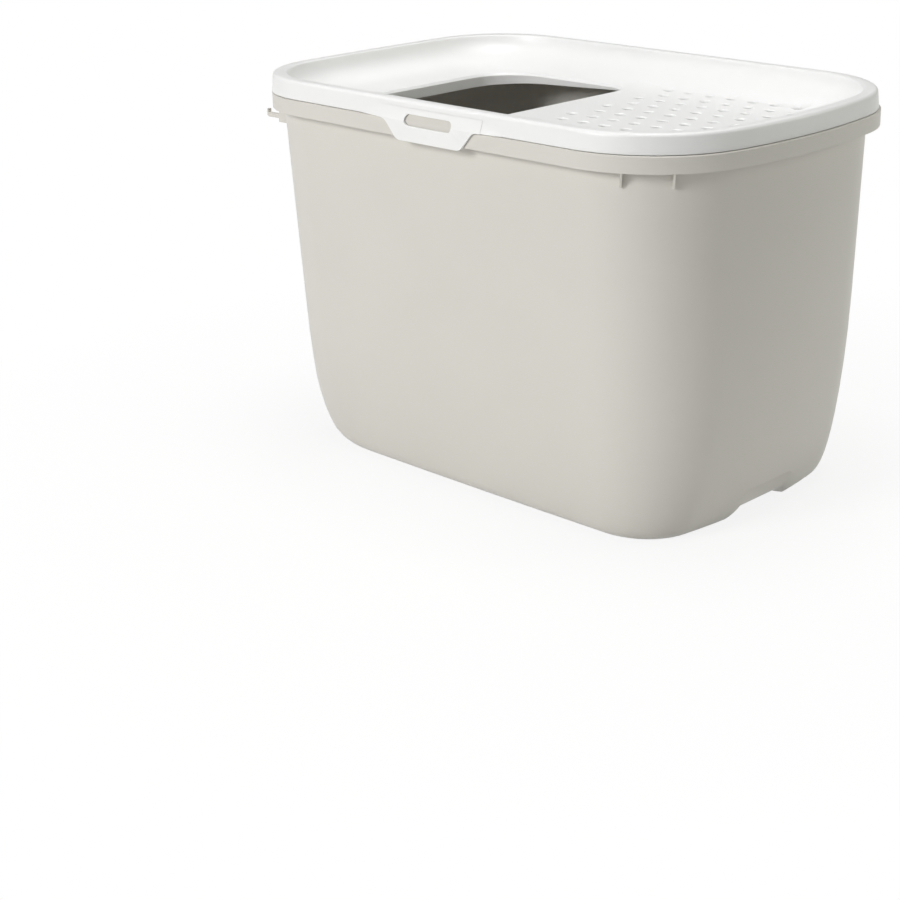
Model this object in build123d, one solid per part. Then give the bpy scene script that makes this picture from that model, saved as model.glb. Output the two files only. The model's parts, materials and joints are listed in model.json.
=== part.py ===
from build123d import *
import os
from math import cos, hypot, pi, radians, sin, sqrt, tan

# Top entry litter box, in millimetres. X runs along the length with the draining grid at +X, -Y is
# the long side with the front grip tab, and Z is up. The origin is on the floor, midway along the
# lid and midway across it.

# --- plan of the lid, which every other outline follows ---
LID_LENGTH = 585.0
LID_WIDTH = 390.6
OVERALL_HEIGHT = 395.0
GRID_END_CORNER = 114.0
ENTRY_END_CORNER = 95.0
GRID_END_BOW = 600.0
ENTRY_END_BOW = 2500.0
SIDE_BOW = 13000.0

# --- lid ---
LID_GAP = 0.3
LID_WALL = 2.4
SKIRT_HEIGHT = 18.5
SKIRT_LEAN = 1.7
LID_EDGE_ROUND = 3.5
LAND_WIDTH = 12.5
DISH_DEPTH = 29.5
DISH_RUN = 59.0
DISH_CORNER_EASE = 6.0
LOCATING_WALL = 2.0
LOCATING_CLEARANCE = 1.0
LOCATING_DROP = 10.0

# --- tub ---
TUB_WALL = 2.4
WALL_INSET = 10.0
SIDE_DRAFT = 3.65
ENTRY_END_DRAFT = 3.05
GRID_END_DRAFT = 1.85
SIDE_ROUND = 18.5
ENTRY_END_ROUND = 26.0
ENTRY_END_ROUND_HEIGHT = 76.0
GRID_END_ROUND = 34.0
GRID_END_ROUND_HEIGHT = 190.0
CORNER_TAPER = 0.055
CORNER_ROUND = 140.0
ENTRY_CORNER_SPREAD = 0.31
GRID_CORNER_SPREAD = -0.11

# --- raised middle under the tub, between two runners ---
ARCH_HEIGHT = 6.0
ARCH_HALF_WIDTH = 30.0
ARCH_FLANK = 18.0
ARCH_CURL = 26.0

# --- rim of the tub ---
RIM_DEPTH = 15.7
RIM_WALL = 2.2
RIM_SIDE_OVERLAP = 0.7
RIM_ENTRY_OVERLAP = -1.0
RIM_GRID_OVERLAP = 2.0
RIM_CHAMFER = 0.8

# --- upstand on the rim behind each grip tab ---
UPSTAND_LENGTH = 76.0
UPSTAND_RISE = 7.6
UPSTAND_WALL = 2.2
UPSTAND_GAP = 0.6

# --- ribs under the rim at the corners of the grid end ---
RIB_ANGLES = (41.0, 67.0)
RIB_HEADING = 47.0
RIB_THICK = 2.0
RIB_DROP = 15.0
RIB_ROOT = 5.0
RIB_FOOT = 2.0
RIB_REACH = 12.4

# --- entry opening ---
ENTRY_EDGE = 22.5
ENTRY_END_MARGIN = 90.0
ENTRY_SIDE_MARGIN = 76.3
ENTRY_FAR_CORNER = 55.0
ENTRY_NEAR_CORNER = 27.0
ENTRY_LIP = 2.5
COLLAR_DEPTH = 13.0
COLLAR_RISE = 9.0

# --- draining grid ---
HOLE_DIAMETER = 9.5
HOLE_FLARE = 1.2
HOLE_NECK_WALL = 1.2
HOLE_NECK_DEPTH = 6.0
HOLE_PITCH = 26.6
GRID_SIDE_MARGIN = 63.3
GRID_FAN = 0.003
COLUMN_COUNTS = (7, 8, 7, 8, 7, 7)
COLUMN_STARTS = (37.8, 25.0, 36.3, 22.8, 33.0, 19.1)

# --- grip tabs, one on each long side ---
TAB_CENTRE = -2.3
TAB_TOP_WIDTH = 136.0
TAB_SHOULDER_WIDTH = 117.2
TAB_FOOT_WIDTH = 83.6
TAB_HINGE_DROP = 7.0
TAB_HANG = 3.0
TAB_THICK = 2.0
TAB_STANDOFF = 0.6
TAB_SIDE_GAP = 0.4
TAB_SHOULDER_ROUND = 12.0
TAB_FOOT_ROUND = 11.0
SLOT_LENGTH = 62.5
SLOT_HEIGHT = 10.8
SLOT_DROP = 17.3

# --- scoop hook at the entry end ---
HOOK_SIDE_MARGIN = 65.3
HOOK_DROP = 24.0
HOOK_THICK = 4.5
HOOK_WIDTH = 4.2
HOOK_REACH = 43.5
HOOK_TIP = 3.8
HOOK_TIP_THICK = 2.0
HOOK_FIN_WIDTH = 23.5
HOOK_FIN_LEAN = 7.0
HOOK_FIN_DROP = 3.5
HOOK_FIN_THICK = 6.0
HOOK_PEG_DIAMETER = 5.0
HOOK_PEG_CLEARANCE = 0.2
HOOK_PEG_RISE = 12.5

# --- sizes that follow from the ones above ---
SKIRT_FOOT = OVERALL_HEIGHT - SKIRT_HEIGHT
RIM_TOP = SKIRT_FOOT - LID_GAP
RIM_FOOT = RIM_TOP - RIM_DEPTH
DISH_FLOOR = OVERALL_HEIGHT - DISH_DEPTH
DISH_MOUTH = SKIRT_LEAN + LAND_WIDTH
TAB_HINGE_HEIGHT = OVERALL_HEIGHT - TAB_HINGE_DROP
TAB_FOOT_HEIGHT = RIM_FOOT - TAB_HANG
TAB_SKIN = LID_WIDTH / 2 + RIM_SIDE_OVERLAP + TAB_STANDOFF
TAB_HINGE_Y = LID_WIDTH / 2 - SKIRT_LEAN * (TAB_HINGE_HEIGHT - SKIRT_FOOT) / SKIRT_HEIGHT
HOOK_Y = HOOK_SIDE_MARGIN - LID_WIDTH / 2
HOOK_HEIGHT = RIM_FOOT - HOOK_DROP
OPEN_END = 30.0


def toward(start, end, distance):
    """The point that lies a distance from start in the direction of end."""
    span = hypot(end[0] - start[0], end[1] - start[1])
    return tuple(a + (b - a) * distance / span for a, b in zip(start, end))


def plan_end(half_length, half_width, corner, bow):
    """One corner of a plan: where the end's bow, the round corner and the side's bow meet."""
    end_middle = (half_length - bow, 0.0)
    side_middle = (0.0, half_width - SIDE_BOW)
    span = hypot(end_middle[0], side_middle[1])
    along = ((bow - corner) ** 2 - (SIDE_BOW - corner) ** 2 + span ** 2) / (2 * span)
    across = sqrt((bow - corner) ** 2 - along ** 2)
    foot = toward(end_middle, side_middle, along)
    centre = (foot[0] - across * side_middle[1] / span, foot[1] - across * end_middle[0] / span)
    end_point = toward(end_middle, centre, bow)
    side_point = toward(side_middle, centre, SIDE_BOW)
    chord_middle = ((end_point[0] + side_point[0]) / 2, (end_point[1] + side_point[1]) / 2)
    return end_point, toward(centre, chord_middle, corner), side_point, centre


def outline(entry_length, grid_length, half_width, entry_corner, grid_corner, z):
    """One closed plan outline at height z: bowed ends and sides with round corners between them."""
    entry_end, entry_bend, entry_side, _ = plan_end(entry_length, half_width, entry_corner, ENTRY_END_BOW)
    grid_end, grid_bend, grid_side, _ = plan_end(grid_length, half_width, grid_corner, GRID_END_BOW)

    def place(point, x_sign, y_sign):
        return (x_sign * point[0], y_sign * point[1])

    edges = [
        ThreePointArc(place(grid_end, 1, -1), (grid_length, 0), grid_end),
        ThreePointArc(grid_end, grid_bend, grid_side),
        ThreePointArc(grid_side, (0, half_width), place(entry_side, -1, 1)),
        ThreePointArc(place(entry_side, -1, 1), place(entry_bend, -1, 1), place(entry_end, -1, 1)),
        ThreePointArc(place(entry_end, -1, 1), (-entry_length, 0), place(entry_end, -1, -1)),
        ThreePointArc(place(entry_end, -1, -1), place(entry_bend, -1, -1), place(entry_side, -1, -1)),
        ThreePointArc(place(entry_side, -1, -1), (0, -half_width), place(grid_side, 1, -1)),
        ThreePointArc(place(grid_side, 1, -1), place(grid_bend, 1, -1), place(grid_end, 1, -1)),
    ]
    return Pos(0, 0, z) * make_face(edges)


def lid_outline(inset, z):
    """The lid's plan, moved in by one distance all round."""
    length = LID_LENGTH / 2 - inset
    width = LID_WIDTH / 2 - inset
    return outline(length, length, width, ENTRY_END_CORNER - inset, GRID_END_CORNER - inset, z)


def rim_outline(inset, z):
    """The rim's plan, set out from the lid's by its own overlap at each end and side."""
    return outline(
        LID_LENGTH / 2 + RIM_ENTRY_OVERLAP - inset,
        LID_LENGTH / 2 + RIM_GRID_OVERLAP - inset,
        LID_WIDTH / 2 + RIM_SIDE_OVERLAP - inset,
        ENTRY_END_CORNER - inset,
        GRID_END_CORNER - inset,
        z,
    )


def dish_outline(inset, z):
    """The dish's plan at an inset from the lid's: its corners are a little rounder than the lid's."""
    length = LID_LENGTH / 2 - inset
    width = LID_WIDTH / 2 - inset
    ease = DISH_CORNER_EASE - inset
    return outline(length, length, width, ENTRY_END_CORNER + ease, GRID_END_CORNER + ease, z)


def rounding(run, rise, height):
    """How far an elliptical bottom edge has come in at a height above its lowest point."""
    below = max(rise - height, 0.0) / rise
    return run * (1 - sqrt(1 - below ** 2))


def wall_inset(draft, z):
    """How far a drafted wall of the tub stands inside the lid's plan at height z."""
    return WALL_INSET + (OVERALL_HEIGHT - z) * tan(radians(draft))


def tub_section(z, depth):
    """The tub's outline at height z, taken a depth inside its outer face."""
    height = z - depth
    entry_turn = rounding(ENTRY_END_ROUND - depth, ENTRY_END_ROUND_HEIGHT - depth, height)
    grid_turn = rounding(GRID_END_ROUND - depth, GRID_END_ROUND_HEIGHT - depth, height)
    side_turn = rounding(SIDE_ROUND - depth, SIDE_ROUND - depth, height)
    spread = rounding(CORNER_ROUND - depth, CORNER_ROUND - depth, height)
    taper = WALL_INSET + CORNER_TAPER * (OVERALL_HEIGHT - z) + depth
    return outline(
        LID_LENGTH / 2 - wall_inset(ENTRY_END_DRAFT, z) - depth - entry_turn,
        LID_LENGTH / 2 - wall_inset(GRID_END_DRAFT, z) - depth - grid_turn,
        LID_WIDTH / 2 - wall_inset(SIDE_DRAFT, z) - depth - side_turn,
        ENTRY_END_CORNER - taper - min(entry_turn, side_turn) + ENTRY_CORNER_SPREAD * spread,
        GRID_END_CORNER - taper - min(grid_turn, side_turn) + GRID_CORNER_SPREAD * spread,
        z,
    )


def tub_body(depth, top):
    """The tub as a full solid: sections close together at the foot and wider apart higher up."""
    reach = GRID_END_ROUND_HEIGHT - depth
    steps = 14
    heights = [depth + reach * (step / steps) ** 3 for step in range(steps + 1)]
    return loft([tub_section(z, depth) for z in heights + [top]], ruled=True)


def arch_profile(rise, depth, y):
    """The space under the tub's raised middle, seen along Y: a flat roof that curls up at the ends."""
    roof = rise + depth
    turn = ARCH_CURL - depth
    slant = turn * sin(pi / 4)
    outside = LID_LENGTH / 2 + OPEN_END
    entry = LID_LENGTH / 2 - wall_inset(ENTRY_END_DRAFT, roof) - depth
    grid = LID_LENGTH / 2 - wall_inset(GRID_END_DRAFT, roof) - depth - GRID_END_ROUND / 2
    edges = [
        Line((-outside, -OPEN_END), (outside, -OPEN_END)),
        Line((outside, -OPEN_END), (outside, roof + turn)),
        Line((outside, roof + turn), (grid, roof + turn)),
        ThreePointArc((grid, roof + turn), (grid - turn + slant, roof + turn - slant), (grid - turn, roof)),
        Line((grid - turn, roof), (turn - entry, roof)),
        ThreePointArc((turn - entry, roof), (turn - slant - entry, roof + turn - slant), (-entry, roof + turn)),
        Line((-entry, roof + turn), (-outside, roof + turn)),
        Line((-outside, roof + turn), (-outside, -OPEN_END)),
    ]
    return Plane((0, y, 0), x_dir=(1, 0, 0), z_dir=(0, -1, 0)) * make_face(edges)


def arch(depth):
    """The whole space under the raised middle, with flanks that curve down to the two runners."""
    steps = 4
    half = []
    for step in range(steps + 1):
        share = step / steps
        rise = ARCH_HEIGHT * (3 * share ** 2 - 2 * share ** 3)
        half.append((ARCH_HALF_WIDTH + ARCH_FLANK * (1 - share), rise if step else -1.0))
    places = [(-y, rise) for y, rise in half] + [(y, rise) for y, rise in reversed(half)]
    return loft([arch_profile(rise, depth, y) for y, rise in places], ruled=True)


def rim_ribs():
    """Thin upright ribs under the rim at the corners of the grid end, cut off at a slant."""
    centre_x, centre_y = plan_end(LID_LENGTH / 2, LID_WIDTH / 2, GRID_END_CORNER, GRID_END_BOW)[3]
    wall = GRID_END_CORNER - WALL_INSET - CORNER_TAPER * (OVERALL_HEIGHT - RIM_FOOT)
    web = RIM_TOP - RIM_WALL / 2
    profile = [
        (-RIB_ROOT, RIM_FOOT - RIB_DROP),
        (RIB_FOOT, RIM_FOOT - RIB_DROP),
        (RIB_REACH, RIM_FOOT + RIM_WALL / 2),
        (RIB_REACH, web),
        (-RIB_ROOT, web),
    ]
    rib = extrude(Plane.XZ * make_face(Polyline(*profile, close=True)), RIB_THICK / 2, both=True)
    ribs = Part()
    for side, angle in [(-1, RIB_ANGLES[0]), (-1, RIB_ANGLES[1]), (1, RIB_ANGLES[1])]:
        x = centre_x + wall * cos(radians(angle))
        y = side * (centre_y + wall * sin(radians(angle)))
        ribs += Pos(x, y, 0) * Rot(0, 0, side * RIB_HEADING) * rib
    return ribs


def tab_face(z):
    """How far out the inner face of a grip tab stands at a height between the skirt's foot and the hinge."""
    share = (z - SKIRT_FOOT) / (TAB_HINGE_HEIGHT - SKIRT_FOOT)
    return TAB_SKIN + (TAB_HINGE_Y - TAB_THICK - TAB_SKIN) * share


def rim_upstand(side):
    """A leaning plate that stands on the rim behind a grip tab and closes the tab's slot."""
    top = RIM_TOP + UPSTAND_RISE
    web = RIM_TOP - RIM_WALL / 2
    profile = [
        (tab_face(RIM_TOP) - UPSTAND_GAP, web),
        (tab_face(RIM_TOP) - UPSTAND_GAP, RIM_TOP),
        (tab_face(top) - UPSTAND_GAP, top),
        (tab_face(top) - UPSTAND_GAP - UPSTAND_WALL, top),
        (tab_face(RIM_TOP) - UPSTAND_GAP - UPSTAND_WALL, RIM_TOP),
        (tab_face(RIM_TOP) - UPSTAND_GAP - UPSTAND_WALL, web),
    ]
    face = make_face(Polyline(*[(side * y, z) for y, z in profile], close=True))
    section = Plane((TAB_CENTRE, 0, 0), x_dir=(0, 1, 0), z_dir=(1, 0, 0)) * face
    return extrude(section, UPSTAND_LENGTH / 2, both=True)


def hook_root_x():
    """The face of the tub's wall where the scoop hook stands, at the hook's height."""
    corner = ENTRY_END_CORNER - WALL_INSET - CORNER_TAPER * (OVERALL_HEIGHT - HOOK_HEIGHT)
    half_length = LID_LENGTH / 2 - wall_inset(ENTRY_END_DRAFT, HOOK_HEIGHT)
    half_width = LID_WIDTH / 2 - wall_inset(SIDE_DRAFT, HOOK_HEIGHT)
    centre = plan_end(half_length, half_width, corner, ENTRY_END_BOW)[3]
    across = abs(HOOK_Y) - centre[1]
    return -centre[0] - sqrt(corner ** 2 - across ** 2)


def hook_peg(diameter):
    """A round peg along X through the tub's wall behind the scoop hook."""
    peg = Rot(0, 90, 0) * Cylinder(diameter / 2, HOOK_REACH / 2)
    return Pos(hook_root_x(), HOOK_Y, HOOK_HEIGHT + HOOK_PEG_RISE) * peg


def make_tub():
    """One moulding: drafted walls, rolled rim, raised middle between two runners, ribs and upstands."""
    outer = tub_body(0.0, RIM_TOP)
    cavity = tub_body(TUB_WALL, RIM_TOP + OPEN_END)
    rim = extrude(rim_outline(0.0, RIM_FOOT), RIM_DEPTH)
    rim = chamfer(rim.edges().filter_by_position(Axis.Z, RIM_TOP - 0.01, RIM_TOP + 0.01), RIM_CHAMFER)
    rim -= extrude(rim_outline(RIM_WALL, RIM_FOOT - OPEN_END), OPEN_END + RIM_DEPTH - RIM_WALL)
    tub = (outer + rim + rim_ribs()) - arch(0.0) - (cavity - arch(TUB_WALL))
    return tub + rim_upstand(-1) + rim_upstand(1) - hook_peg(HOOK_PEG_DIAMETER)


def make_hook():
    """A hook for the scoop: a fin under the rim, a thin arm that stands out past it and a tip."""
    tip_inside = HOOK_REACH - HOOK_TIP_THICK
    arm_top = HOOK_HEIGHT + HOOK_THICK
    fin_top = RIM_FOOT - LID_GAP
    fin_foot = HOOK_HEIGHT - HOOK_FIN_DROP
    fin = [
        (-HOOK_FIN_WIDTH, fin_foot),
        (HOOK_FIN_WIDTH, fin_foot),
        (HOOK_FIN_WIDTH, arm_top),
        (HOOK_FIN_WIDTH - HOOK_FIN_LEAN, fin_top),
        (-HOOK_FIN_WIDTH, fin_top),
    ]
    arm = [
        (0, HOOK_HEIGHT),
        (tip_inside, HOOK_HEIGHT),
        (HOOK_REACH, HOOK_HEIGHT + HOOK_TIP_THICK),
        (HOOK_REACH, arm_top + HOOK_TIP),
        (tip_inside, arm_top + HOOK_TIP),
        (tip_inside, arm_top),
        (0, arm_top),
    ]
    outer = tub_body(0.0, RIM_TOP)
    hook = Part()
    for profile, thick in ((fin, HOOK_FIN_THICK), (arm, HOOK_WIDTH)):
        face = make_face(Polyline(*[(hook_root_x() - out, z) for out, z in profile], close=True))
        hook += Pos(0, HOOK_Y, 0) * extrude(Plane.XZ * face, thick / 2, both=True)
    peg = hook_peg(HOOK_PEG_DIAMETER - HOOK_PEG_CLEARANCE) & outer
    return (hook - outer) + (peg - tub_body(TUB_WALL, RIM_TOP + OPEN_END))


def dish_body(depth, top):
    """The dish as a full solid: an elliptical slope from the mouth down to the flat floor."""
    turns = (0, 10, 20, 32, 46, 62, 78, 90)
    sections = []
    for turn in turns:
        run = DISH_RUN * (1 - cos(radians(turn)))
        inset = DISH_MOUTH + run - depth
        drop = DISH_DEPTH * sin(radians(turn)) + depth
        sections.append((inset, OVERALL_HEIGHT - drop))
    faces = [dish_outline(inset, z) for inset, z in reversed(sections)]
    mouth_inset, mouth_z = sections[0]
    return loft(faces, ruled=True) + extrude(dish_outline(mouth_inset, mouth_z), top - mouth_z)


def entry_outline(margin, z):
    """The entry opening, rounder at its far end, grown all round by a margin."""
    near = -ENTRY_EDGE
    far = ENTRY_END_MARGIN - LID_LENGTH / 2
    half = LID_WIDTH / 2 - ENTRY_SIDE_MARGIN
    shape = make_face(Polyline((near, -half), (near, half), (far, half), (far, -half), close=True))
    shape = fillet(shape.vertices().filter_by_position(Axis.X, far - 1, far + 1), ENTRY_FAR_CORNER)
    shape = fillet(shape.vertices().filter_by_position(Axis.X, near - 1, near + 1), ENTRY_NEAR_CORNER)
    if margin > 0:
        shape = offset(shape, margin)
    return Pos(0, 0, z) * shape


def entry_body(margin, foot, top):
    """The entry opening as a solid with upright walls that flare out into a lip at the dish floor."""
    lip_foot = entry_outline(margin, DISH_FLOOR - ENTRY_LIP)
    lip = loft([lip_foot, entry_outline(margin + ENTRY_LIP, DISH_FLOOR)], ruled=True)
    return extrude(entry_outline(margin, foot), top - foot) + lip


def make_collar():
    """The wall under the entry opening, deepest at the far end and shallow beside the grid."""
    foot = DISH_FLOOR - COLLAR_DEPTH
    far = ENTRY_END_MARGIN - LID_LENGTH / 2
    slant = [
        (far - OPEN_END, foot),
        (far, foot),
        (-ENTRY_EDGE, foot + COLLAR_RISE),
        (OPEN_END - ENTRY_EDGE, foot + COLLAR_RISE),
        (OPEN_END - ENTRY_EDGE, foot - OPEN_END),
        (far - OPEN_END, foot - OPEN_END),
    ]
    below = extrude(Plane.XZ * make_face(Polyline(*slant, close=True)), LID_WIDTH / 2, both=True)
    return entry_body(LID_WALL, foot, DISH_FLOOR) - below


def grid_places():
    """Where the draining holes stand: staggered columns that fan out a little."""
    outermost = len(COLUMN_COUNTS) - 1
    spacing = (LID_WIDTH / 2 - GRID_SIDE_MARGIN) / outermost
    places = []
    for column in range(-outermost, outermost + 1):
        start = COLUMN_STARTS[abs(column)]
        for row in range(COLUMN_COUNTS[abs(column)]):
            x = start + row * HOLE_PITCH
            places.append(Pos(x, column * (spacing + GRID_FAN * (x - start)), DISH_FLOOR))
    return places


def grid_necks():
    """A short round neck under the dish floor for each draining hole."""
    radius = HOLE_DIAMETER / 2 + HOLE_NECK_WALL
    neck = Pos(0, 0, -LID_WALL / 2) * Cylinder(
        radius, HOLE_NECK_DEPTH - LID_WALL / 2, align=(Align.CENTER, Align.CENTER, Align.MAX)
    )
    return Part() + [place * neck for place in grid_places()]


def grid_holes():
    """The draining holes as drills, each with a cone that flares its upper edge."""
    radius = HOLE_DIAMETER / 2
    flare = Cone(radius, radius + HOLE_FLARE, HOLE_FLARE, align=(Align.CENTER, Align.CENTER, Align.MAX))
    drill = Cylinder(radius, 4 * HOLE_NECK_DEPTH) + flare
    return Part() + [place * drill for place in grid_places()]


def make_lid():
    """One moulding: skirt, round edge, dish with entry opening and grid, and a locating wall."""
    outer = loft([lid_outline(0.0, SKIRT_FOOT), lid_outline(SKIRT_LEAN, OVERALL_HEIGHT)], ruled=True)
    top_edge = outer.edges().filter_by_position(Axis.Z, OVERALL_HEIGHT - 0.01, OVERALL_HEIGHT + 0.01)
    outer = fillet(top_edge, LID_EDGE_ROUND)
    hollow_height = OVERALL_HEIGHT - LID_WALL - SKIRT_FOOT + OPEN_END
    hollow = extrude(lid_outline(LID_WALL + SKIRT_LEAN / 2, SKIRT_FOOT - OPEN_END), hollow_height)
    dish = dish_body(0.0, OVERALL_HEIGHT + OPEN_END)
    ring_foot = RIM_TOP - LOCATING_DROP
    ring_height = DISH_MOUTH + LOCATING_DROP
    ring_inset = wall_inset(SIDE_DRAFT, ring_foot) + TUB_WALL + LOCATING_CLEARANCE
    ring = extrude(lid_outline(ring_inset, ring_foot), ring_height)
    ring -= extrude(lid_outline(ring_inset + LOCATING_WALL, ring_foot), ring_height)
    lid = (outer - hollow) + dish_body(LID_WALL, OVERALL_HEIGHT - LID_WALL / 2) + ring + make_collar()
    lid += grid_necks()
    lid = lid - dish - entry_body(0.0, DISH_FLOOR - OPEN_END, DISH_FLOOR) - grid_holes()
    notch_width = TAB_TOP_WIDTH + 2 * TAB_SIDE_GAP
    notch_height = TAB_HINGE_HEIGHT + TAB_SIDE_GAP - SKIRT_FOOT + OPEN_END
    notch_depth = LID_WALL + SKIRT_LEAN
    notch = Box(notch_width, 2 * notch_depth, notch_height, align=(Align.CENTER, Align.CENTER, Align.MAX))
    for side in (-1, 1):
        lid -= Pos(TAB_CENTRE, side * LID_WIDTH / 2, TAB_HINGE_HEIGHT + TAB_SIDE_GAP) * notch
    return lid


def make_tab(side):
    """A grip tab: hinged at its top in the lid's skirt, it hangs outside the rim and holds a slot."""
    profile = [
        (TAB_SKIN, TAB_FOOT_HEIGHT),
        (TAB_SKIN + TAB_THICK, TAB_FOOT_HEIGHT),
        (TAB_SKIN + TAB_THICK, SKIRT_FOOT),
        (TAB_HINGE_Y, TAB_HINGE_HEIGHT),
        (TAB_HINGE_Y - TAB_THICK, TAB_HINGE_HEIGHT),
        (TAB_SKIN, SKIRT_FOOT),
    ]
    section = make_face(Polyline(*profile, close=True))
    section = Plane((TAB_CENTRE, 0, 0), x_dir=(0, 1, 0), z_dir=(1, 0, 0)) * section
    blank = extrude(section, TAB_TOP_WIDTH / 2, both=True)
    above = TAB_HINGE_HEIGHT + TAB_THICK
    half_outline = [
        (TAB_FOOT_WIDTH / 2, TAB_FOOT_HEIGHT),
        (TAB_SHOULDER_WIDTH / 2, SKIRT_FOOT),
        (TAB_TOP_WIDTH / 2, SKIRT_FOOT),
        (TAB_TOP_WIDTH / 2, above),
    ]
    mirrored = [(-x, z) for x, z in reversed(half_outline)]
    shape = make_face(Polyline(*half_outline, *mirrored, close=True))
    foot_corners = shape.vertices().filter_by_position(Axis.Y, TAB_FOOT_HEIGHT - 0.01, TAB_FOOT_HEIGHT + 0.01)
    shape = fillet(foot_corners, TAB_FOOT_ROUND)
    inner_half = TAB_TOP_WIDTH / 2 - 0.01
    shoulders = shape.vertices().filter_by_position(Axis.Y, SKIRT_FOOT - 0.01, SKIRT_FOOT + 0.01)
    shoulders = shoulders.filter_by_position(Axis.X, -inner_half, inner_half)
    shape = fillet(shoulders, TAB_SHOULDER_ROUND)
    slot = Pos(0, OVERALL_HEIGHT - SLOT_DROP) * SlotOverall(SLOT_LENGTH, SLOT_HEIGHT)
    tool = Pos(TAB_CENTRE, 0, 0) * extrude(Plane.XZ * (shape - slot), 2 * LID_WIDTH, both=True)
    tab = blank & tool
    if side < 0:
        tab = mirror(tab, Plane.XZ)
    return tab


pieces = {
    "tub": make_tub(),
    "lid": make_lid(),
    "front_grip_tab": make_tab(-1),
    "rear_grip_tab": make_tab(1),
    "scoop_hook": make_hook(),
}

os.makedirs("parts", exist_ok=True)
for name, piece in pieces.items():
    export_step(piece, f"parts/{name}.step")
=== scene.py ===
import json
from math import cos, radians, sin

import bpy
import numpy as np
from mathutils import Matrix, Vector

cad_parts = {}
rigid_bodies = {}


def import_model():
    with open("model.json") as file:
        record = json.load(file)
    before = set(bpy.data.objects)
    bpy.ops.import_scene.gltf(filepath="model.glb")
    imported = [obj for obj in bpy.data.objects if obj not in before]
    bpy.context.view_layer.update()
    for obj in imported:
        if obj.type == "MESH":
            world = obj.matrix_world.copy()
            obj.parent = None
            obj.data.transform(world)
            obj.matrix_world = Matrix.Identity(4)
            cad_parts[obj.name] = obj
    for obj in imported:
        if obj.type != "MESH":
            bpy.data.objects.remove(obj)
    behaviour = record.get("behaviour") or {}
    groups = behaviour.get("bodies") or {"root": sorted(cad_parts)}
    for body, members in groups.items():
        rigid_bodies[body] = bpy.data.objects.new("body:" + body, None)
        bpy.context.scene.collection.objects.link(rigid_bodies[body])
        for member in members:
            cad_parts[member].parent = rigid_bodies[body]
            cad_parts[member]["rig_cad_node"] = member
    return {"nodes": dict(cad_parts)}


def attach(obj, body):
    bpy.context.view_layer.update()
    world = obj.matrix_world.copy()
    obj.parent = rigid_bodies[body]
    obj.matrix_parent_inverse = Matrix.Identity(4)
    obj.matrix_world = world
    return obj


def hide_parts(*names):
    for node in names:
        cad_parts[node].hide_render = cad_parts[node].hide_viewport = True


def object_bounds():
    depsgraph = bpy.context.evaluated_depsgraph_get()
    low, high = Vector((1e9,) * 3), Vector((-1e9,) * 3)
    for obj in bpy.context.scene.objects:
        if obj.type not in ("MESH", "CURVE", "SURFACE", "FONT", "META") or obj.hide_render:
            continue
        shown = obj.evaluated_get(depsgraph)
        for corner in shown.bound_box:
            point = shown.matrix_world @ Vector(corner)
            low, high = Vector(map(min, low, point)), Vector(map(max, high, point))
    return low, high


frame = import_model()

cad_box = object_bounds()


# --- Tub ---
# One deep polypropylene moulding in a warm light grey, with a rim turned down all round, a channel
# through its underside between two runners, and small ribs under the rim. The mould is finely
# spark-eroded, so the walls have an even satin sheen with no sharp highlights.

def linear(hex_colour):
    """An sRGB hex colour as the linear RGBA that the shaders take."""
    channels = [int(hex_colour[i:i + 2], 16) / 255 for i in (1, 3, 5)]
    return [c / 12.92 if c <= 0.04045 else ((c + 0.055) / 1.055) ** 2.4 for c in channels] + [1.0]


def add_node(owner, kind, inputs=None, **settings):
    """Adds one node with its settings to a material or the world; an input is a value or its source."""
    node = owner.node_tree.nodes.new(kind)
    for name, value in settings.items():
        setattr(node, name, value)
    for name, value in (inputs or {}).items():
        if isinstance(value, bpy.types.NodeSocket):
            owner.node_tree.links.new(value, node.inputs[name])
        else:
            node.inputs[name].default_value = value
    return node


def blank_material(name):
    """A new material whose node tree holds nothing yet."""
    material = bpy.data.materials.new(name)
    material.use_nodes = True
    material.node_tree.nodes.clear()
    return material


SAME_POINT = 0.00001


def moulding_from(node, name):
    """A copy of a solid's surface, joined into one closed moulding."""
    bpy.ops.object.select_all(action="DESELECT")
    solid = frame["nodes"][node]
    solid.select_set(True)
    bpy.context.view_layer.objects.active = solid
    bpy.ops.object.duplicate()
    piece = bpy.context.object
    piece.name = name
    piece.data.name = name
    piece.parent = None
    del piece["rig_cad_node"]
    piece.data.materials.clear()
    bpy.ops.mesh.customdata_custom_splitnormals_clear()
    bpy.ops.object.mode_set(mode="EDIT")
    bpy.ops.mesh.select_mode(type="VERT")
    bpy.ops.mesh.select_all(action="SELECT")
    bpy.ops.mesh.remove_doubles(threshold=SAME_POINT)
    bpy.ops.object.mode_set(mode="OBJECT")
    return piece


def round_edges(piece, lowest, highest, radius, sharper_than):
    """Rounds those edges of a moulding that lie between two levels and are sharper than an angle."""
    bpy.ops.object.mode_set(mode="EDIT")
    bpy.ops.mesh.select_mode(type="EDGE")
    bpy.ops.mesh.select_all(action="DESELECT")
    bpy.ops.mesh.edges_select_sharp(sharpness=radians(sharper_than))
    bpy.ops.object.mode_set(mode="OBJECT")
    mesh = piece.data
    chosen = []
    for edge in mesh.edges:
        if edge.select and all(lowest < mesh.vertices[v].co.z < highest for v in edge.vertices):
            chosen.append(edge.index)
    bpy.ops.object.mode_set(mode="EDIT")
    bpy.ops.mesh.select_all(action="DESELECT")
    bpy.ops.object.mode_set(mode="OBJECT")
    for index in chosen:
        mesh.edges[index].select = True
    bpy.ops.object.mode_set(mode="EDIT")
    bpy.ops.mesh.bevel(offset=radius, segments=3, affect="EDGES", clamp_overlap=False)
    bpy.ops.object.mode_set(mode="OBJECT")


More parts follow.
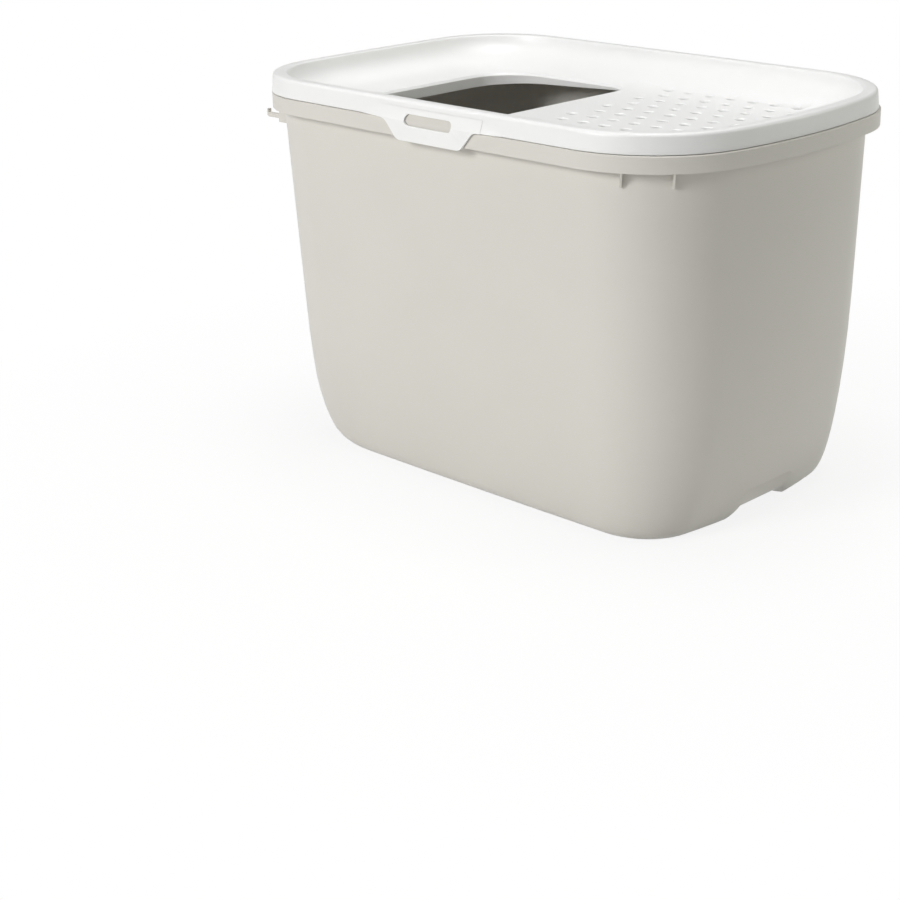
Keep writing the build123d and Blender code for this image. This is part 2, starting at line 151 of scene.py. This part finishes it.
tub = moulding_from("tub", "tub_moulding")
bpy.ops.object.shade_smooth_by_angle(angle=radians(35))
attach(tub, "tub_body")
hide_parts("tub")

greige = blank_material("spark_eroded_polypropylene_greige")
place = add_node(greige, "ShaderNodeTexCoord").outputs["Object"]
# The melt leaves the colour uneven by a shade over a hand's width.
flow = add_node(greige, "ShaderNodeTexNoise", {"Vector": place, "Scale": 1000 / 90, "Detail": 3.0})
tone = add_node(greige, "ShaderNodeMix", {"Factor": flow.outputs["Fac"]}, data_type="RGBA")
tone.inputs["A"].default_value = linear("#D2CFC8")
tone.inputs["B"].default_value = linear("#D6D3CC")
# The eroded grain is about 0.2 mm; it is drawn at 0.9 mm so that it shows.
grain = add_node(greige, "ShaderNodeTexNoise", {"Vector": place, "Scale": 1000 / 0.9, "Detail": 2.0})
gloss = add_node(greige, "ShaderNodeMapRange", {"Value": grain.outputs["Fac"], "From Min": 0.3,
                 "From Max": 0.7, "To Min": 0.38, "To Max": 0.46})
bump = add_node(greige, "ShaderNodeBump", {"Height": grain.outputs["Fac"], "Strength": 0.35,
                "Distance": 0.00005})
shader = add_node(greige, "ShaderNodeBsdfPrincipled", {"Base Color": tone.outputs["Result"],
                  "Roughness": gloss.outputs["Result"], "Normal": bump.outputs["Normal"], "IOR": 1.49})
add_node(greige, "ShaderNodeOutputMaterial", {"Surface": shader.outputs["BSDF"]})
tub.data.materials.append(greige)


# --- Scoop hook ---
# A small hook for the litter scoop, in the tub's plastic. A fin under the rim carries a thin arm with
# a turned up tip, and a peg behind the fin goes through the tub's wall.
hook = moulding_from("scoop_hook", "scoop_hook_moulding")
bpy.ops.object.shade_smooth_by_angle(angle=radians(35))
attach(hook, "tub_body")
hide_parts("scoop_hook")
hook.data.materials.append(greige)


# --- Lid ---
# One white polypropylene moulding: a skirt with a rounded edge, a broad dish with the entry opening,
# and a grid of draining holes. Its face is smoother than the tub's, with a soft satin gloss.
LAND_LEVEL = cad_box[1][2]
LAND_ROUND = 0.0015
SKIRT_FOOT_LEVEL = LAND_LEVEL - 0.0185
SKIRT_TOP_LEVEL = LAND_LEVEL - 0.0025
SKIRT_INSIDE = 0.180
SKIRT_FACE = 0.188
SHADOW_GAP = 0.0004
DISH_FLOOR_LEVEL = LAND_LEVEL - 0.0295
TAB_MIDDLE = -0.0023
TAB_HALF_WIDTH = 0.068
TAB_TOP_LEVEL = LAND_LEVEL - 0.007
SWELL_DEPTH = 0.0033
SWELL_LENGTH = 0.030
SWELL_STEPS = 6
HOLE_RADIUS = 0.00475
HOLE_PITCH = 0.0266
FLARE_RADIUS = 0.00594
FLARE_SKIN = 0.00003
OUTER_COLUMN_COUNT = 7
OUTER_COLUMN_START = 0.0191
OUTER_COLUMN_SIDE = 0.132
OUTER_COLUMN_FAN = 0.0004
CLOSE = 0.0001


def rows_of(parts, name, width):
    """One property of all points or faces of a mesh as rows of an array."""
    found = np.empty(len(parts) * width, np.float32)
    parts.foreach_get(name, found)
    return found.reshape(-1, width)


def select_by_place(piece, kind, test):
    """Selects the points or the faces of a piece whose place passes a test, ready for an edit."""
    bpy.ops.object.mode_set(mode="EDIT")
    bpy.ops.mesh.select_mode(type=kind)
    bpy.ops.mesh.select_all(action="DESELECT")
    bpy.ops.object.mode_set(mode="OBJECT")
    parts, place = (piece.data.vertices, "co") if kind == "VERT" else (piece.data.polygons, "center")
    parts.foreach_set("select", test(*rows_of(parts, place, 3).T))
    bpy.ops.object.mode_set(mode="EDIT")


def cut_skirt(piece, place, normal):
    """Cuts the skirt along both long sides with one plane, and leaves the dish whole."""
    select_by_place(piece, "FACE", lambda x, y, z: (abs(y) > SKIRT_INSIDE) & (z < SKIRT_TOP_LEVEL))
    bpy.ops.mesh.bisect(plane_co=place, plane_no=normal)
    bpy.ops.object.mode_set(mode="OBJECT")


lid = moulding_from("lid", "lid_moulding")
round_edges(lid, LAND_LEVEL - CLOSE, LAND_LEVEL + CLOSE, LAND_ROUND, 40)

# The skirt swells out towards each tab until it is flush with it.
for turn in (-1, 1):
    for step in range(SWELL_STEPS + 1):
        place = TAB_MIDDLE + turn * (TAB_HALF_WIDTH + SWELL_LENGTH * step / SWELL_STEPS)
        cut_skirt(lid, (place, 0, 0), (1, 0, 0))
cut_skirt(lid, (0, 0, TAB_TOP_LEVEL), (0, 0, 1))
places = rows_of(lid.data.vertices, "co", 3)
along = abs(places[:, 0] - TAB_MIDDLE) - TAB_HALF_WIDTH
near_tab = (abs(places[:, 1]) > SKIRT_FACE) & (places[:, 2] < SKIRT_FOOT_LEVEL + 2 * CLOSE)
near_tab &= (along > -10 * CLOSE) & (along < SWELL_LENGTH)
share = 1 - np.clip(along / SWELL_LENGTH, 0, 1)
swell = SWELL_DEPTH * (3 * share ** 2 - 2 * share ** 3) * np.sign(places[:, 1])
places[near_tab, 1] += swell[near_tab]

# The outermost holes stand where the dish starts to rise; their upper edges are brought out to the flare.
for hole in range(OUTER_COLUMN_COUNT):
    for side in (-1, 1):
        x = OUTER_COLUMN_START + HOLE_PITCH * hole
        centre = np.array((x, side * (OUTER_COLUMN_SIDE + OUTER_COLUMN_FAN * hole)))
        outward = places[:, :2] - centre
        reach = np.hypot(*outward.T)
        edge = (abs(reach - HOLE_RADIUS) < CLOSE) & (places[:, 2] > DISH_FLOOR_LEVEL - CLOSE)
        lower = edge & (places[:, 2] < DISH_FLOOR_LEVEL + CLOSE / 2)
        places[edge, :2] = centre + outward[edge] * (FLARE_RADIUS / reach[edge, None])
        places[edge, 2] = DISH_FLOOR_LEVEL + FLARE_SKIN
        places[lower, 2] = DISH_FLOOR_LEVEL - FLARE_SKIN / 3
lid.data.vertices.foreach_set("co", places.ravel())
lid.data.update()

# A fine shadow line shows between the skirt and the rim.
select_by_place(lid, "VERT", lambda x, y, z: abs(z - SKIRT_FOOT_LEVEL) < 2 * CLOSE)
bpy.ops.transform.translate(value=(0, 0, SHADOW_GAP))
bpy.ops.object.mode_set(mode="OBJECT")
bpy.ops.object.shade_smooth_by_angle(angle=radians(40))
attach(lid, "lid_body")
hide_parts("lid")

white = blank_material("polished_polypropylene_white")
place = add_node(white, "ShaderNodeTexCoord").outputs["Object"]
# The white varies by less than a shade over a hand's width.
flow = add_node(white, "ShaderNodeTexNoise", {"Vector": place, "Scale": 1000 / 120, "Detail": 3.0})
tone = add_node(white, "ShaderNodeMix", {"Factor": flow.outputs["Fac"]}, data_type="RGBA")
tone.inputs["A"].default_value = linear("#EFEFEE")
tone.inputs["B"].default_value = linear("#F2F2F1")
# The polish leaves a faint orange peel of about 1.2 mm.
peel = add_node(white, "ShaderNodeTexNoise", {"Vector": place, "Scale": 1000 / 1.2, "Detail": 1.0})
gloss = add_node(white, "ShaderNodeMapRange", {"Value": peel.outputs["Fac"], "From Min": 0.3,
                 "From Max": 0.7, "To Min": 0.33, "To Max": 0.39})
bump = add_node(white, "ShaderNodeBump", {"Height": peel.outputs["Fac"], "Strength": 0.3,
                "Distance": 0.00003})
# A little light passes into the wall, which softens the shades on it.
shader = add_node(white, "ShaderNodeBsdfPrincipled", {"Base Color": tone.outputs["Result"],
                  "Roughness": gloss.outputs["Result"], "Normal": bump.outputs["Normal"], "IOR": 1.49,
                  "Subsurface Weight": 0.3, "Subsurface Radius": (1.0, 1.0, 1.0),
                  "Subsurface Scale": 0.004})
add_node(white, "ShaderNodeOutputMaterial", {"Surface": shader.outputs["BSDF"]})
lid.data.materials.append(white)


# --- Grip tabs ---
# Two tabs that hang from the long sides of the skirt over the rim, each with a slot for a
# fingertip. They are moulded in one shot with the lid and bend at a thin line along their top, so
# no gap shows there, and the skirt swells out to meet them at their sides.
SEAM_FILL = 0.00035

for side in ("front", "rear"):
    tab = moulding_from(f"{side}_grip_tab", f"{side}_grip_tab_moulding")
    for turn in (-1, 1):
        select_by_place(tab, "VERT", lambda x, y, z: turn * (x - TAB_MIDDLE) > TAB_HALF_WIDTH - 2 * CLOSE)
        bpy.ops.transform.translate(value=(turn * SEAM_FILL, 0, 0))
        bpy.ops.object.mode_set(mode="OBJECT")
    select_by_place(tab, "VERT", lambda x, y, z: z > TAB_TOP_LEVEL - 2 * CLOSE)
    bpy.ops.transform.translate(value=(0, 0, SEAM_FILL))
    bpy.ops.object.mode_set(mode="OBJECT")
    bpy.ops.object.shade_smooth_by_angle(angle=radians(35))
    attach(tab, f"{side}_tab")
    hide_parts(f"{side}_grip_tab")
    tab.data.materials.append(white)


# --- Floor and backdrop ---
# A plain white sheet that shows as clean white and keeps a soft shadow under the tub.
bpy.ops.object.select_all(action="DESELECT")
bpy.ops.mesh.primitive_plane_add(size=14.0, location=(0, 0, 0))
floor = bpy.context.object
floor.name = "floor"
sheet = blank_material("matt_white_paper")
paper = add_node(sheet, "ShaderNodeBsdfDiffuse", {"Color": linear("#F4F4F2")})
glow = add_node(sheet, "ShaderNodeEmission", {"Color": (1, 1, 1, 1), "Strength": 1.0})
path = add_node(sheet, "ShaderNodeLightPath")
mirror = add_node(sheet, "ShaderNodeMath", {0: path.outputs["Is Camera Ray"],
                  1: path.outputs["Is Glossy Ray"]}, operation="MAXIMUM")
seen = add_node(sheet, "ShaderNodeMath", {0: mirror.outputs[0], 1: path.outputs["Is Transmission Ray"]},
                operation="MAXIMUM")
# The sheet is lit evenly white away from the tub, and shows a little of its shadow close to it.
place = add_node(sheet, "ShaderNodeTexCoord").outputs["Object"]
reach = add_node(sheet, "ShaderNodeVectorMath", {0: place}, operation="LENGTH")
even = add_node(sheet, "ShaderNodeMapRange", {"Value": reach.outputs["Value"], "From Min": 0.3,
                "From Max": 0.75, "To Min": 0.86, "To Max": 1.0})
share = add_node(sheet, "ShaderNodeMath", {0: seen.outputs[0], 1: even.outputs["Result"]},
                 operation="MULTIPLY")
blend = add_node(sheet, "ShaderNodeMixShader", {0: share.outputs[0], 1: paper.outputs[0],
                 2: glow.outputs[0]})
add_node(sheet, "ShaderNodeOutputMaterial", {"Surface": blend.outputs[0]})
floor.data.materials.append(sheet)

# The world shows white behind the sheet and lights the tub only weakly.
WORLD_LIGHT = 0.112

world = bpy.data.worlds.new("studio")
bpy.context.scene.world = world
world.use_nodes = True
world.node_tree.nodes.clear()
path = add_node(world, "ShaderNodeLightPath")
seen = add_node(world, "ShaderNodeMath", {0: path.outputs["Is Camera Ray"],
                1: path.outputs["Is Transmission Ray"]}, operation="MAXIMUM")
strength = add_node(world, "ShaderNodeMapRange", {"Value": seen.outputs[0], "To Min": WORLD_LIGHT,
                    "To Max": 1.0})
sky = add_node(world, "ShaderNodeBackground", {"Color": (1, 1, 1, 1), "Strength": strength.outputs["Result"]})
add_node(world, "ShaderNodeOutputWorld", {"Surface": sky.outputs[0]})


# --- Lamps ---
# Soft boxes in front and overhead give the main light. Weak ones behind open up the dish and the
# hole end, the last one slightly warm. All aim at the middle of the tub.
LAMP_TARGET = Vector((0, 0, 0.2))


def soft_box(name, place, size, power, colour=(1, 1, 1)):
    """A square lamp at a place, turned towards the tub."""
    lamp = bpy.data.lights.new(name, "AREA")
    lamp.shape = "SQUARE"
    lamp.size = size
    lamp.energy = power
    lamp.color = colour
    holder = bpy.data.objects.new(name, lamp)
    bpy.context.scene.collection.objects.link(holder)
    holder.location = place
    holder.rotation_euler = (LAMP_TARGET - Vector(place)).to_track_quat("-Z", "Y").to_euler()


soft_box("front_box", (-0.42, -2.69, 1.47), 0.9, 47)
soft_box("top_box", (0.1, 0, 3.2), 1.6, 56)
soft_box("back_box", (-1.06, 1.84, 2.32), 1.2, 7)
soft_box("far_end_box", (1.99, 1.99, 1.23), 1.2, 16, (0.98, 1.0, 0.88))


# --- Camera ---
# A long lens looks down a little at the near corner of the hole end, with the tub up and to the right
# of the frame.
CAMERA_PLACE = Vector((1.2490, -1.4055, 0.7182))
CAMERA_AHEAD = Vector((-0.6548, 0.6881, -0.3126))
CAMERA_ROLL = radians(-0.72)
FRAME_SIDE = 900
FRAME_SHIFT_RIGHT = -60
FRAME_SHIFT_UP = -90

camera_data = bpy.data.cameras.new("camera")
camera = bpy.data.objects.new("camera", camera_data)
bpy.context.scene.collection.objects.link(camera)
camera_data.lens = 75.918
camera_data.sensor_width = 36.0
camera_data.shift_x = FRAME_SHIFT_RIGHT / FRAME_SIDE
camera_data.shift_y = FRAME_SHIFT_UP / FRAME_SIDE
ahead = CAMERA_AHEAD.normalized()
level_right = ahead.cross(Vector((0, 0, 1))).normalized()
level_up = level_right.cross(ahead)
right = level_right * cos(CAMERA_ROLL) + level_up * sin(CAMERA_ROLL)
up = level_up * cos(CAMERA_ROLL) - level_right * sin(CAMERA_ROLL)
facing = Matrix((right, up, -ahead)).transposed()
camera.matrix_world = Matrix.Translation(CAMERA_PLACE) @ facing.to_4x4()
bpy.context.scene.camera = camera
bpy.context.scene.view_settings.view_transform = "Standard"
